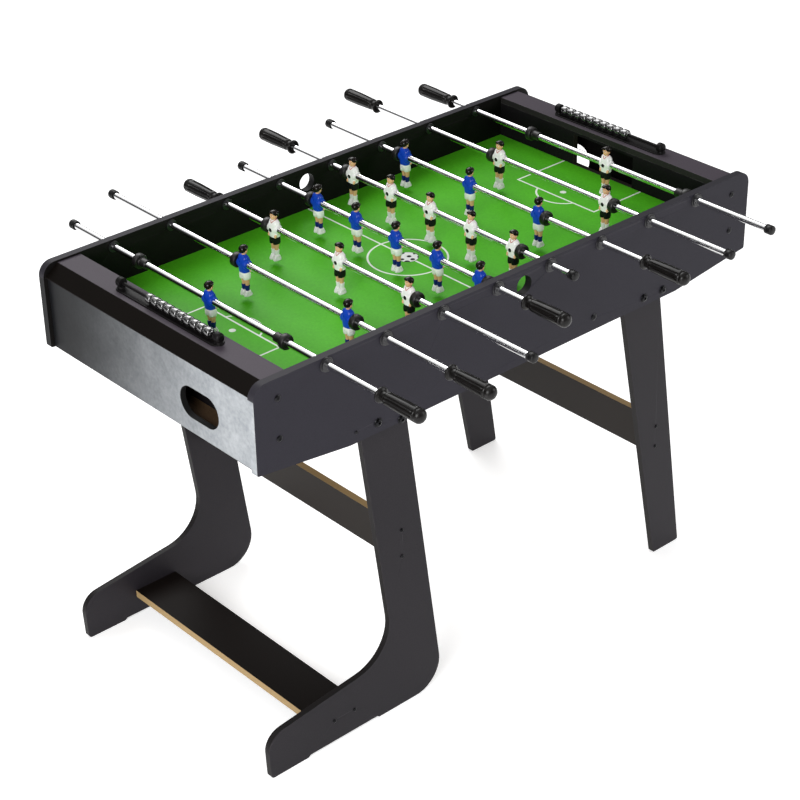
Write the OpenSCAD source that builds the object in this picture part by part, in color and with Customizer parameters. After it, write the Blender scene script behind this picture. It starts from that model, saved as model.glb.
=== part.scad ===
// Folding foosball table: a board cabinet with eight player rods, on a J-leg frame and a straight-leg frame.
// X runs along the table, the front side panel faces -Y, Z is up, and the origin is on the floor in the middle.

/* [Cabinet] */
// Length of the two side panels
cabinet_l = 1210; // [1150:5:1300]
// Width over the two side panels
cabinet_w = 610; // [600:5:640]
// Height of the top edge of the side panels above the floor
cabinet_top = 812; // [800:1:840]
// Thickness of the side panels
side_t = 15; // [12:1:18]
// Thickness of the end panels, goal walls and top ledges
end_t = 12; // [10:1:12]
// Drop from the top edge to the lower edge at the ends of a side panel
end_drop = 165; // [160:1:170]
// Drop from the top edge to the lower edge over the legs
mid_drop = 189; // [185:1:195]
// Half length of the deeper middle stretch of a side panel
deep_half = 407; // [395:1:430]

/* [Playfield] */
// Half length of the playfield, up to the goal walls
field_half_l = 524; // [522:1:526]
// Drop from the top edge of the cabinet to the playing surface
field_drop = 87; // [86:1:92]
// Thickness of the playfield board
field_t = 5; // [4:1:6]
// Width of a goal mouth
goal_w = 160; // [140:5:180]
// Height of a goal mouth above the playing surface
goal_h = 65; // [50:1:65]
// Diameter of the serve hole in each side panel
serve_d = 36; // [34:1:38]
// Length of the ball return hole in each end panel
return_l = 105; // [90:1:110]
// Height of the ball return hole
return_h = 60; // [50:1:76]
// Distance of the ball return hole from the middle of the end panel
return_off = 145; // [130:1:160]

/* [Rods] */
// Distance from one rod to the next
rod_pitch = 129.4; // [128:0.1:130]
// Drop from the top edge of the cabinet to the rods
rod_drop = 14; // [14:0.5:16]
// Diameter of a rod
rod_d = 12.7; // [12:0.1:13]
// Length of a grip
grip_l = 102; // [95:1:110]
// Diameter of a grip
grip_d = 26; // [25:1:28]
// Diameter of a rubber bumper
bumper_d = 28; // [24:1:30]

/* [Players] */
// Width of a player across the shoulders
man_w = 26; // [24:1:28]
// Height of a player's head above the rod
man_top = 36; // [32:1:38]
// Reach of a player's foot below the rod
man_reach = 63.5; // [60:0.5:64]

/* [Legs] */
// Thickness of the leg boards
leg_t = 12; // [10:1:12]
// Width of the J legs over their outer faces
j_frame_w = 579; // [575:1:579]
// Width of the straight legs over their outer faces
straight_frame_w = 553; // [550:1:553]

/* [Hidden] */
$fn = 48;
board_black = "#2c2b30";
ledge_grey = "#4a484c";
plastic_black = "#17171a";
raw_board = "#b3926a";

half_l = cabinet_l / 2;
half_w = cabinet_w / 2;
inner_w = half_w - side_t;
rod_z = cabinet_top - rod_drop;
field_z = cabinet_top - field_drop;
end_low = cabinet_top - end_drop;
mid_low = cabinet_top - mid_drop;
corner_r = 26;
ledge_top = cabinet_top - 4;
ledge_low = ledge_top - end_t;
ledge_outer = half_l - 32;
end_outer = half_l - 8;
end_inner = end_outer - end_t;
end_top = ledge_top - 22;
goal_back = field_half_l + end_t;
box_low = end_low + 8;
box_t = 5;
cheek_t = 25;
return_z = 706;

// Bearings: the barrel fills the side panel, the rod runs in it with 0.05 mm all round
rod_run = 0.05;
barrel_r = 8.5;
flange_r = 13.7;
flange_out = 5;
flange_in = 2;
stop_y = inner_w - flange_in;

// Each rod: men, distance between men, place of the middle man, rod side of the grip, end of the cap.
// A grip on the -Y side belongs to the blue team, and one on the +Y side to the white team.
rods = [
    [1, 0, 5, -437, 423],
    [2, 284, -68, -461, 482],
    [3, 184, -36, 314, -526],
    [5, 110, -41.5, -374, 414],
    [5, 110, 7, 407, -369],
    [3, 184, 37, -410, 456],
    [2, 284, -54, 446, -504],
    [1, 0, -75.5, 357, -489]
];
rod_numbers = [1, 2, 3, 4, 5, 6, 7, 8];
cap_l = 16;
cap_r = 9;
grip_flange_r = 14;
cap_wall = 3;
grip_wall = 6;
bumper_l = 13;
bumper_gap = 0.3;
stop_collar_l = 18;
stop_collar_r = 9;
keeper_bumper_end = 212;

// Legs
j_pivot = [-345, 643];
j_lock = [-292, 628];
straight_pivot = [370, 639];
straight_lock = [318, 640];
bolt_r = 4;
bolt_run = 0.05;
nut_l = 6;
plate_gap = 0.5;
foot_board_t = 15;
rail_board_t = 15;
j_rail = [-290, 321, 76];
j_foot_board = [-484, 42, 96];
straight_rail = [400, 248, 80];

// Score counters
counter_l = 290;
counter_y = -8;
counter_block_l = 14;
bead_count = 10;
bead_l = 18;
bead_r = 9;
bar_r = 3;
counter_z = ledge_top + 12;

// ---- outlines with rounded corners: each corner is [x, z, radius] ----

function unit(v) = v / norm(v);

function rounded_corner(before, at, after, r, steps = 10) =
    let (u = unit(before - at), v = unit(after - at), half = acos(u * v) / 2,
         centre = at + unit(u + v) * r / sin(half),
         first = at + u * r / tan(half) - centre, last = at + v * r / tan(half) - centre,
         a = atan2(first.y, first.x), turn = atan2(first.x * last.y - first.y * last.x, first * last))
    [for (i = [0 : steps]) centre + r * [cos(a + turn * i / steps), sin(a + turn * i / steps)]];

function plan(c) = [c[0], c[1]];

function rounded_outline(corners) =
    let (n = len(corners))
    [for (i = [0 : n - 1])
        each corners[i][2] == 0 ? [plan(corners[i])]
            : rounded_corner(plan(corners[(i + n - 1) % n]), plan(corners[i]), plan(corners[(i + 1) % n]),
                             corners[i][2])];

// A flat board standing in the XZ plane, from y0 to y1
module upright(corners, y0, y1) {
    translate([0, y1, 0]) rotate([90, 0, 0]) linear_extrude(y1 - y0) polygon(rounded_outline(corners));
}

module box(low, high) {
    translate(low) cube(high - low);
}

// A round bar along Y
module pin(x, z, r, y0, y1) {
    translate([x, y1, z]) rotate([90, 0, 0]) cylinder(h = y1 - y0, r = r);
}

module at_both_sides() {
    for (m = [0, 1]) mirror([0, m, 0]) children();
}

module at_both_ends() {
    for (m = [0, 1]) mirror([m, 0, 0]) children();
}

function rod_x(n) = (n - 4.5) * rod_pitch;

// ---- cabinet ----

panel_screws = [[-556, 776, 6], [-556, 700, 6], [556, 776, 6], [556, 700, 6]];
panel_plugs = [[-394, 644, 3], [182, 650, 7]];
screw_r = 2;
screw_l = 36;

module side_panel() {
    difference() {
        upright([[-half_l, end_low, 3], [-deep_half, mid_low, 0], [deep_half, mid_low, 0],
                 [half_l, end_low, 3], [half_l, cabinet_top, corner_r], [-half_l, cabinet_top, corner_r]],
                -half_w, -inner_w);
        for (n = rod_numbers) pin(rod_x(n), rod_z, barrel_r, -half_w - 1, -inner_w + 1);
        pin(0, rod_z - serve_d / 2 + 1, serve_d / 2, -half_w - 1, -inner_w + 1);
        box([-field_half_l, -inner_w - 3, field_z - field_t], [field_half_l, -inner_w + 1, field_z]);
        for (s = panel_screws) pin(s[0], s[1], screw_r, -half_w - 1, -inner_w + 1);
        for (s = panel_plugs) pin(s[0], s[1], screw_r, -half_w - 1, -inner_w + 5);
        for (b = [j_pivot, j_lock, straight_pivot, straight_lock])
            pin(b[0], b[1], bolt_r, -half_w - 1, -inner_w + 1);
    }
}

module front_side_panel() color(board_black) side_panel();

module back_side_panel() color(board_black) mirror([0, 1, 0]) side_panel();

module end_panel() {
    difference() {
        box([-end_outer, -inner_w, end_low], [-end_inner, inner_w, end_top]);
        translate([-end_outer - 1, -return_off, return_z]) rotate([0, 90, 0]) linear_extrude(end_t + 2) {
            square([return_h, return_l - return_h], center = true);
            for (s = [-1, 1]) translate([0, s * (return_l - return_h) / 2]) circle(d = return_h);
        }
    }
}

module left_end_panel() color("#8f969b") end_panel();

module right_end_panel() color("#8f969b") rotate([0, 0, 180]) end_panel();

module end_bevel_rails() color("#1d1b1a") at_both_ends() {
    upright([[-half_l + 4, end_top, 0], [-half_l + 4, end_top + 2, 0], [-ledge_outer - 1, ledge_top, 0],
             [-ledge_outer, ledge_top, 0], [-ledge_outer, end_top, 0]], -inner_w, inner_w);
}

module top_ledge() {
    difference() {
        box([-ledge_outer, -inner_w, ledge_low], [-field_half_l, inner_w, ledge_top]);
        counter_screw_holes();
    }
}

module left_top_ledge() color(ledge_grey) top_ledge();

module right_top_ledge() color(ledge_grey) rotate([0, 0, 180]) top_ledge();

module goal_wall() {
    difference() {
        box([-goal_back, -inner_w, box_low], [-field_half_l, inner_w, ledge_low]);
        box([-goal_back - 1, -goal_w / 2, field_z], [-field_half_l + 1, goal_w / 2, field_z + goal_h]);
    }
}

module left_goal_wall() color("#141312") goal_wall();

module right_goal_wall() color("#141312") mirror([1, 0, 0]) goal_wall();

module playfield() color("#3fae29")
    box([-field_half_l, -inner_w - 3, field_z - field_t], [field_half_l, inner_w + 3, field_z]);

module field_battens() color(raw_board) for (x = [-250, 0, 250])
    box([x - 15, -255, field_z - field_t - 20], [x + 15, 255, field_z - field_t]);

// The floor of a ball box, with the two thick cheeks that the side panels are screwed to
module ball_box() {
    difference() {
        union() {
            box([-end_inner, -inner_w, box_low], [-goal_back, inner_w, box_low + box_t]);
            at_both_sides() {
                box([-end_inner, -inner_w, box_low], [-goal_back, -inner_w + cheek_t, end_top]);
                box([-ledge_outer, -inner_w, box_low], [-goal_back, -inner_w + cheek_t, ledge_low]);
            }
        }
        at_both_sides() for (s = panel_screws) if (s[0] < 0)
            pin(s[0], s[1], screw_r, -inner_w - 1, -half_w + screw_l);
    }
}

module ball_boxes() color("#5b4632") at_both_ends() ball_box();

// ---- bearings and screws ----

module rod_bearing(x) {
    difference() {
        union() {
            pin(x, rod_z, barrel_r, -half_w, -inner_w);
            pin(x, rod_z, flange_r, -half_w - flange_out, -half_w);
            pin(x, rod_z, flange_r - 1, -inner_w, -stop_y);
        }
        pin(x, rod_z, rod_d / 2 + rod_run, -half_w - flange_out - 1, -stop_y + 1);
    }
}

module rod_bearings() color(plastic_black) at_both_sides() for (n = rod_numbers) rod_bearing(rod_x(n));

module domed_screw(x, z, head_r, y0, length) {
    pin(x, z, screw_r, y0, y0 + length);
    translate([x, y0, z]) rotate([90, 0, 0]) {
        cylinder(h = 1, r = head_r);
        translate([0, 0, 1]) cylinder(h = 1.2, r1 = head_r, r2 = head_r - 1.6);
    }
}

module cabinet_screws() color("#3a3a3e") at_both_sides() {
    for (s = panel_screws) domed_screw(s[0], s[1], s[2], -half_w, screw_l);
    for (s = panel_plugs) domed_screw(s[0], s[1], s[2], -half_w, side_t - 2);
}

// ---- score counters ----

counter_x = -(ledge_outer + field_half_l) / 2;
counter_low = counter_y - counter_l / 2;
counter_high = counter_y + counter_l / 2;

module counter_screw_holes() {
    for (y = [counter_low + counter_block_l / 2, counter_high - counter_block_l / 2])
        translate([counter_x, y, ledge_low + 2]) cylinder(h = end_t, r = screw_r);
}

module score_counter_frame() {
    box([counter_x - 13, counter_low, ledge_top], [counter_x + 13, counter_high, ledge_top + 2]);
    for (y = [counter_low, counter_high - counter_block_l]) {
        box([counter_x - 8, y, ledge_top], [counter_x + 8, y + counter_block_l, counter_z]);
        pin(counter_x, counter_z, 8, y, y + counter_block_l);
    }
    pin(counter_x, counter_z, bar_r, counter_low, counter_high);
    for (y = [counter_low + counter_block_l / 2, counter_high - counter_block_l / 2])
        translate([counter_x, y, ledge_low + 2]) cylinder(h = end_t, r = screw_r);
}

module score_counter_frames() color(plastic_black) {
    score_counter_frame();
    rotate([0, 0, 180]) score_counter_frame();
}

// Ten beads on a bar, from y0 towards +Y; each is a barrel with a flat end boss
module counter_beads(y0) {
    for (i = [0 : bead_count - 1]) translate([counter_x, y0 + i * (bead_l + 0.2), counter_z])
        rotate([-90, 0, 0]) difference() {
            union() {
                cylinder(h = bead_l, r = bead_r - 2);
                translate([0, 0, 3]) cylinder(h = bead_l - 6, r = bead_r);
            }
            translate([0, 0, -1]) cylinder(h = bead_l + 2, r = bar_r + 0.3);
        }
}

module left_counter_beads() color(plastic_black) counter_beads(-130);

module right_counter_beads() color(plastic_black) rotate([0, 0, 180]) counter_beads(-136);

// ---- rods, players, grips, caps and bumpers ----

function rod(n) = rods[n - 1];
function grip_side(n) = sign(rod(n)[3]);
function man_places(n) =
    [for (i = [0 : rod(n)[0] - 1]) rod(n)[2] + (i - (rod(n)[0] - 1) / 2) * rod(n)[1]];
function is_keeper(n) = rod(n)[0] == 1;

// Places things that are drawn along +Y, with the rod's axis at x = z = 0
module on_rod(n, y) {
    translate([rod_x(n), y, rod_z]) children();
}

module rod_shaft(n) color("#c9ccd0") {
    grip_end = rod(n)[3] + grip_side(n) * (grip_l - grip_wall);
    cap_end = rod(n)[4] + grip_side(n) * cap_wall;
    pin(rod_x(n), rod_z, rod_d / 2, min(grip_end, cap_end), max(grip_end, cap_end));
}

// A player hangs from the rod and faces +X (blue team) or -X (white team)
module man(n) {
    facing = -grip_side(n);
    difference() {
        union() {
            box([-7.5, -man_w / 2, -15], [7.5, man_w / 2, 12]);
            rotate([90, 0, 0]) cylinder(h = man_w, r = 11, center = true);
            box([-6, -10, 10], [6, 10, 20]);
            cylinder(h = 26, r = 4);
            translate([0, 0, man_top - 8]) sphere(r = 8);
            box([-7, -9.5, -30], [7, 9.5, -14]);
            box([-5, -7, -54], [5, 7, -29]);
            translate([facing * 1.5, 0, 0]) box([-7, -11, -man_reach], [7, 11, -man_reach + 14]);
        }
        rotate([90, 0, 0]) cylinder(h = man_w + 2, r = rod_d / 2, center = true);
    }
}

module rod_men(n) color(grip_side(n) < 0 ? "#1f3fb5" : "#e9e6e0")
    for (y = man_places(n)) on_rod(n, y) man(n);

// The grip starts at its rod-side flange; the cap's open end faces the cabinet
module grip_and_cap(n) color(plastic_black) {
    s = grip_side(n);
    on_rod(n, rod(n)[3]) rotate([-90 * s, 0, 0]) rotate_extrude()
        polygon(rounded_outline([
            [rod_d / 2, 0, 0], [grip_flange_r, 0, 2], [grip_flange_r, 5.5, 2], [9.2, 7, 1.5], [9.2, 14, 2],
            [grip_d / 2 - 1, 18, 3], [grip_d / 2, grip_l, 7], [0, grip_l, 0], [0, grip_l - grip_wall, 0],
            [rod_d / 2, grip_l - grip_wall, 0]]));
    on_rod(n, rod(n)[4]) rotate([-90 * s, 0, 0]) rotate_extrude()
        polygon(rounded_outline([
            [0, 0, 0], [cap_r, 0, 3], [cap_r, cap_l - 5, 0], [cap_r - 1.5, cap_l, 0],
            [rod_d / 2, cap_l, 0], [rod_d / 2, cap_wall, 0], [0, cap_wall, 0]]));
}

module ring(r, length) {
    rotate([-90, 0, 0]) difference() {
        cylinder(h = length, r = r);
        translate([0, 0, -1]) cylinder(h = length + 2, r = rod_d / 2 + rod_run);
    }
}

module bumper_ring() {
    rotate([-90, 0, 0]) rotate_extrude() polygon(rounded_outline([
        [rod_d / 2 + rod_run, 0, 0], [bumper_d / 2, 0, 3], [bumper_d / 2, bumper_l, 3],
        [rod_d / 2 + rod_run, bumper_l, 0]]));
}

// The goalkeeper's bumpers sit on stop collars well out on the rod, the others beside the outer men
module rod_bumpers(n) color("#101012") {
    outer = rod(n)[1] * (rod(n)[0] - 1) / 2 + man_w / 2 + bumper_gap;
    from = is_keeper(n) ? keeper_bumper_end - bumper_l : outer;
    on_rod(n, rod(n)[2]) at_both_sides() {
        translate([0, from, 0]) bumper_ring();
        if (is_keeper(n)) translate([0, from - stop_collar_l, 0]) ring(stop_collar_r, stop_collar_l);
    }
}

// ---- legs ----

// The outer face of the front leg of a frame is at -frame_w / 2
module j_leg(frame_w) {
    difference() {
        upright([[-381, 690, 45], [-305, 126, 85], [-605, 92, 38], [-601, 0, 8], [-515, 0, 0],
                 [-510, 4, 0], [-350, 4, 0], [-345, 0, 0], [-185, 0, 60], [-276, 690, 45]],
                -frame_w / 2, -frame_w / 2 + leg_t);
        pin(j_pivot[0], j_pivot[1], bolt_r + bolt_run, -half_w, 0);
        frame_screw_holes(j_leg_screw_places, frame_w);
    }
}

module straight_leg(frame_w) {
    difference() {
        upright([[290, 668, 24], [290, 640, 0], [296, 611, 0], [419, 3, 0], [422, 0, 0], [490, 0, 0],
                 [494, 3, 0], [397, 611, 0], [394, 668, 24]],
                -frame_w / 2, -frame_w / 2 + leg_t);
        pin(straight_pivot[0], straight_pivot[1], bolt_r + bolt_run, -half_w, 0);
        frame_screw_holes(straight_leg_screw_places, frame_w);
    }
}

j_leg_screw_places = [[-282.5, 387], [-282.5, 331], [-404, 49.5], [-452, 49.5]];
straight_leg_screw_places = [[407.5, 309], [407.5, 263]];

module frame_screw_holes(places, frame_w) {
    for (s = places) pin(s[0], s[1], screw_r, -frame_w / 2 - 1, -frame_w / 2 + screw_l);
}

module frame_screws(places, frame_w) {
    at_both_sides() for (s = places) domed_screw(s[0], s[1], 4, -frame_w / 2, screw_l);
}

// A stretcher lies between the inner faces of the two legs of a frame
module stretcher(corner, w_x, h_z, frame_w, screws) {
    difference() {
        box([corner[0], -frame_w / 2 + leg_t, corner[1]], [corner[0] + w_x, frame_w / 2 - leg_t, corner[1] + h_z]);
        at_both_sides() frame_screw_holes(screws, frame_w);
    }
}

module front_j_leg() color(board_black) j_leg(j_frame_w);

module back_j_leg() color(board_black) mirror([0, 1, 0]) j_leg(j_frame_w);

module j_leg_foot_stretcher() color(board_black)
    stretcher(j_foot_board, j_foot_board[2], foot_board_t, j_frame_w, j_leg_screw_places);

module j_leg_upper_stretcher() color(board_black)
    stretcher(j_rail, rail_board_t, j_rail[2], j_frame_w, j_leg_screw_places);

module j_leg_screws() color("#3a3a3e") frame_screws(j_leg_screw_places, j_frame_w);

module front_straight_leg() color(board_black) straight_leg(straight_frame_w);

module back_straight_leg() color(board_black) mirror([0, 1, 0]) straight_leg(straight_frame_w);

module straight_leg_stretcher() color(board_black)
    stretcher(straight_rail, rail_board_t, straight_rail[2], straight_frame_w, straight_leg_screw_places);

module straight_leg_screws() color("#3a3a3e") frame_screws(straight_leg_screw_places, straight_frame_w);

// Blocks that fill the gap between a side panel and the narrower straight-leg frame
module leg_spacer_blocks() color(board_black) at_both_sides() difference() {
    upright([[290, 627, 4], [398, 627, 4], [398, 668, 4], [290, 668, 4]],
            -inner_w, -straight_frame_w / 2 - plate_gap);
    for (b = [straight_pivot, straight_lock]) pin(b[0], b[1], bolt_r, -half_w, 0);
}

// A pivot bolt goes through the leg to a nut; a lock bolt is backed off clear of the leg
module leg_bolt(at, end_y, has_nut) {
    translate([at[0], -half_w, at[1]]) rotate([90, 0, 0]) {
        cylinder(h = 1.5, r = 7.5);
        translate([0, 0, 1.5]) cylinder(h = 3, r1 = 6, r2 = 4.5);
    }
    pin(at[0], at[1], bolt_r, -half_w, end_y);
    if (has_nut) pin(at[0], at[1], 7, end_y, end_y + nut_l);
}

module leg_bolts() color("#2a2a2e") at_both_sides() {
    leg_bolt(j_pivot, -j_frame_w / 2 + leg_t + plate_gap, true);
    leg_bolt(j_lock, -inner_w, false);
    leg_bolt(straight_pivot, -straight_frame_w / 2 + leg_t + plate_gap, true);
    leg_bolt(straight_lock, -straight_frame_w / 2 - plate_gap, false);
}

// ---- drawing ----

front_side_panel();
back_side_panel();
left_end_panel();
right_end_panel();
end_bevel_rails();
left_top_ledge();
right_top_ledge();
left_goal_wall();
right_goal_wall();
playfield();
field_battens();
ball_boxes();
rod_bearings();
cabinet_screws();
score_counter_frames();
left_counter_beads();
right_counter_beads();
leg_bolts();
leg_spacer_blocks();
front_j_leg();
back_j_leg();
j_leg_foot_stretcher();
j_leg_upper_stretcher();
j_leg_screws();
front_straight_leg();
back_straight_leg();
straight_leg_stretcher();
straight_leg_screws();
for (n = rod_numbers) {
    rod_shaft(n);
    rod_men(n);
    grip_and_cap(n);
    rod_bumpers(n);
}
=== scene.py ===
"""A folding foosball table: board cabinet, eight chromed player rods, bead counters, two leg frames."""

import math

import bmesh
import bpy
from mathutils import Matrix, Vector


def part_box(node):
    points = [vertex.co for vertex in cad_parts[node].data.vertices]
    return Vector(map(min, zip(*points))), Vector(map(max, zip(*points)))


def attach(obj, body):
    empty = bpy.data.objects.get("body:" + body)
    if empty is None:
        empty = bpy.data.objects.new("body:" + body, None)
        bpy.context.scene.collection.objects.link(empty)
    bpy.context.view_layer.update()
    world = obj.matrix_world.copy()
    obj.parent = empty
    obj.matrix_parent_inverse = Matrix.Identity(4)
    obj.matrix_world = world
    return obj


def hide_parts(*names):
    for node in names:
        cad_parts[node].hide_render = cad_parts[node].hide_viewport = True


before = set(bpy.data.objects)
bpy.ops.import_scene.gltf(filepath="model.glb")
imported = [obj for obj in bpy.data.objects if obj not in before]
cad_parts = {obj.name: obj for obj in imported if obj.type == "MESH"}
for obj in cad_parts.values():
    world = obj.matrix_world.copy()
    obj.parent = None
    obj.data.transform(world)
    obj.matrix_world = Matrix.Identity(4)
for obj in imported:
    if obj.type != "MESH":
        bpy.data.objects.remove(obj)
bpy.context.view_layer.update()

# ------------------------------------------------------------
# Studio. A white floor that glows a little, a soft light above and behind the table and two in front
# of it, and a bright ceiling over dark walls, so that the chromed rods have dark undersides.

scene = bpy.context.scene
scene.view_settings.view_transform = "Standard"

camera_data = bpy.data.cameras.new("camera")
camera_data.lens = 93.77
camera_data.sensor_width = 36
camera = bpy.data.objects.new("camera", camera_data)
camera_turn, camera_drop, camera_roll = math.radians(-41.44), math.radians(30.52), math.radians(-0.993)
camera.matrix_world = (
    Matrix.Translation((-2.3115, -2.5894, 2.4631))
    @ Matrix.Rotation(camera_turn, 4, "Z")
    @ Matrix.Rotation(math.pi / 2 - camera_drop, 4, "X")
    @ Matrix.Rotation(camera_roll, 4, "Z")
)
scene.collection.objects.link(camera)
scene.camera = camera


def soft_light(name, at, target, size, power):
    """A square area light that faces a point."""
    light = bpy.data.lights.new(name, "AREA")
    light.size = size
    light.energy = power
    lamp = bpy.data.objects.new(name, light)
    away = Vector(at) - Vector(target)
    lamp.matrix_world = Matrix.Translation(at) @ away.to_track_quat("Z", "Y").to_matrix().to_4x4()
    scene.collection.objects.link(lamp)


table_middle = (0, 0, 0.7)
soft_light("back_softbox", (0.9, 2.3, 3.1), table_middle, 2.2, 62)
soft_light("left_softbox", (-3.0, -1.6, 2.1), table_middle, 1.6, 95)
soft_light("right_softbox", (2.4, -2.8, 1.9), table_middle, 1.8, 36)


def node(tree, kind, inputs=(), **settings):
    """A new shader node: settings are its properties, inputs its values or the sockets that feed it."""
    made = tree.nodes.new("ShaderNode" + kind)
    for key, value in settings.items():
        setattr(made, key, value)
    for key, value in dict(inputs).items():
        if isinstance(value, bpy.types.NodeSocket):
            tree.links.new(value, made.inputs[key])
        else:
            made.inputs[key].default_value = value
    return made


def new_material(name, **plain):
    """A material with a Principled BSDF whose plain sockets hold these values."""
    material = bpy.data.materials.new(name)
    material.use_nodes = True
    tree = material.node_tree
    surface = tree.nodes["Principled BSDF"]
    for socket, value in plain.items():
        surface.inputs[socket.replace("_", " ")].default_value = value
    return material, tree, surface


def remap(tree, value, low, high, new_low=0.0, new_high=1.0, **settings):
    """Where a value stands between low and high, told as a value between new_low and new_high."""
    ends = {"Value": value, 1: low, 2: high, 3: new_low, 4: new_high}
    return node(tree, "MapRange", ends, **settings).outputs[0]


def lay(name, mesh, material, smooth_angle=35):
    """Links a finished bmesh as an object of this material, smooth except at its sharp edges."""
    bmesh.ops.recalc_face_normals(mesh, faces=mesh.faces)
    data = bpy.data.meshes.new(name)
    mesh.to_mesh(data)
    mesh.free()
    data.materials.append(material)
    data.shade_smooth()
    data.set_sharp_from_angle(angle=math.radians(smooth_angle))
    piece = bpy.data.objects.new(name, data)
    scene.collection.objects.link(piece)
    return piece


def mix_colour(tree, factor, low, high):
    """The colour between low and high by factor."""
    return node(tree, "Mix", {0: factor, 6: low, 7: high}, data_type="RGBA").outputs[2]


world = bpy.data.worlds.new("pale_room")
world.use_nodes = True
scene.world = world
tree = world.node_tree
looking = node(tree, "SeparateXYZ", {0: node(tree, "TexCoord").outputs["Generated"]})
back_side = remap(tree, looking.outputs["Y"], -0.3, 0.5, 0.25, 1.0)
room = node(tree, "ValToRGB", {"Fac": looking.outputs["Z"]})
walls, ceiling_edge = room.color_ramp.elements
walls.position = 0.40
walls.color = (0.05, 0.05, 0.05, 1)
ceiling_edge.position = 0.56
ceiling_edge.color = (1.0, 1.0, 1.0, 1)
room.color_ramp.elements.new(0.85).color = (0.80, 0.80, 0.80, 1)
lit_room = mix_colour(tree, back_side, (0.0, 0.0, 0.0, 1), room.outputs["Color"])
seen_directly = node(tree, "LightPath").outputs["Is Camera Ray"]
backdrop = mix_colour(tree, seen_directly, lit_room, (1, 1, 1, 1))
tree.links.new(backdrop, tree.nodes["Background"].inputs["Color"])
tree.nodes["Background"].inputs["Strength"].default_value = 1.0

pale_floor, tree, surface = new_material("pale_floor", Roughness=0.7, Specular_IOR_Level=0.2,
                                         Emission_Color=(1, 1, 1, 1), Emission_Strength=0.50)
floor_cloud = node(tree, "TexNoise", {"Scale": 1.4, "Detail": 2.0}).outputs["Fac"]
floor_tone = mix_colour(tree, floor_cloud, (0.90, 0.90, 0.90, 1), (0.96, 0.96, 0.96, 1))
tree.links.new(floor_tone, surface.inputs["Base Color"])
mesh = bmesh.new()
bmesh.ops.create_grid(mesh, x_segments=2, y_segments=2, size=14)
floor = lay("floor", mesh, pale_floor)

# ------------------------------------------------------------
# Side panels. Two 15 mm fibreboards in a matte dark grey foil, painted nearly black inside the table and in
# the holes as shade.
# The edges that hands rub are painted pale, as wear and as a painted highlight, and the two ends carry the
# silver end print with its painted shade.


def shader_group(name, inputs, outputs):
    """An empty shader node group with these (label, default) inputs and (label, kind) outputs."""
    group = bpy.data.node_groups.new(name, "ShaderNodeTree")
    for label, default in inputs:
        kind = "NodeSocketColor" if isinstance(default, tuple) else "NodeSocketFloat"
        group.interface.new_socket(label, in_out="INPUT", socket_type=kind).default_value = default
    for label, kind in outputs:
        group.interface.new_socket(label, in_out="OUTPUT", socket_type="NodeSocket" + kind)
    return group, group.nodes.new("NodeGroupInput").outputs, group.nodes.new("NodeGroupOutput").inputs


def maths(tree, operation, *values):
    """One Math node's result."""
    return node(tree, "Math", dict(enumerate(values)), operation=operation).outputs[0]


def noise(tree, place, scale, detail):
    """Soft random patches of this fineness at a place."""
    return node(tree, "TexNoise", {"Vector": place, "Scale": scale, "Detail": detail}).outputs["Fac"]


def object_place(tree):
    """The place on the piece, in metres."""
    return node(tree, "TexCoord").outputs["Object"]


def surface_grain():
    """Cloudy tone and fine fleck over a surface: Color between two tones, Roughness, and a fine Height."""
    group, given, result = shader_group(
        "surface_grain",
        [("Dark", (0.03, 0.03, 0.03, 1)), ("Light", (0.06, 0.06, 0.06, 1)), ("Cloud Scale", 6.0),
         ("Fleck Scale", 500.0), ("Fleck", 0.4), ("Roughness", 0.5), ("Roughness Spread", 0.15)],
        [("Color", "Color"), ("Roughness", "Float"), ("Height", "Float")])
    place = object_place(group)
    cloud = noise(group, place, given["Cloud Scale"], 3.0)
    fleck = noise(group, place, given["Fleck Scale"], 2.0)
    both = node(group, "Mix", {0: given["Fleck"], 2: cloud, 3: fleck})
    tone = remap(group, both.outputs[0], 0.3, 0.7)
    swing = maths(group, "MULTIPLY", maths(group, "SUBTRACT", cloud, 0.5), given["Roughness Spread"])
    group.links.new(mix_colour(group, tone, given["Dark"], given["Light"]), result["Color"])
    group.links.new(maths(group, "ADD", given["Roughness"], swing), result["Roughness"])
    group.links.new(fleck, result["Height"])
    return group


def face_lean(group, face):
    """1 where a surface looks along the face axis, either way, and 0 where it looks across it."""
    normal = node(group, "TexCoord").outputs["Normal"]
    along = node(group, "VectorMath", {0: normal, 1: face}, operation="DOT_PRODUCT")
    return maths(group, "ABSOLUTE", along.outputs["Value"])


def board_edge_mask():
    """1 on the faces of a board that aren't its two large ones, which look along the given Face axis."""
    group, given, result = shader_group("board_edge_mask", [("Face", (0.0, 1.0, 0.0, 1))],
                                        [("Mask", "Float")])
    group.links.new(remap(group, face_lean(group, given["Face"]), 0.75, 0.6), result["Mask"])
    return group


def edge_rub_and_highlight():
    """1 in patches along a board's eased edges, which lean between its faces and its sides: rub wear, and
    on the foil boards also a painted highlight.
    """
    group, given, result = shader_group(
        "edge_rub_and_highlight", [("Face", (0.0, 1.0, 0.0, 1)), ("Amount", 0.5), ("Break Up", 60.0)],
        [("Mask", "Float")])
    lean = face_lean(group, given["Face"])
    off_face, off_side = remap(group, lean, 0.98, 0.94), remap(group, lean, 0.2, 0.34)
    broken = remap(group, noise(group, object_place(group), given["Break Up"], 4.0), 0.35, 0.65)
    eased = maths(group, "MULTIPLY", off_face, off_side)
    mask = maths(group, "MULTIPLY", maths(group, "MULTIPLY", eased, broken), given["Amount"])
    group.links.new(mask, result["Mask"])
    return group


def grouped(tree, group, inputs=()):
    """This group placed in a material: inputs are its values or the sockets that feed it."""
    return node(tree, "Group", inputs, node_tree=group)


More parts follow.
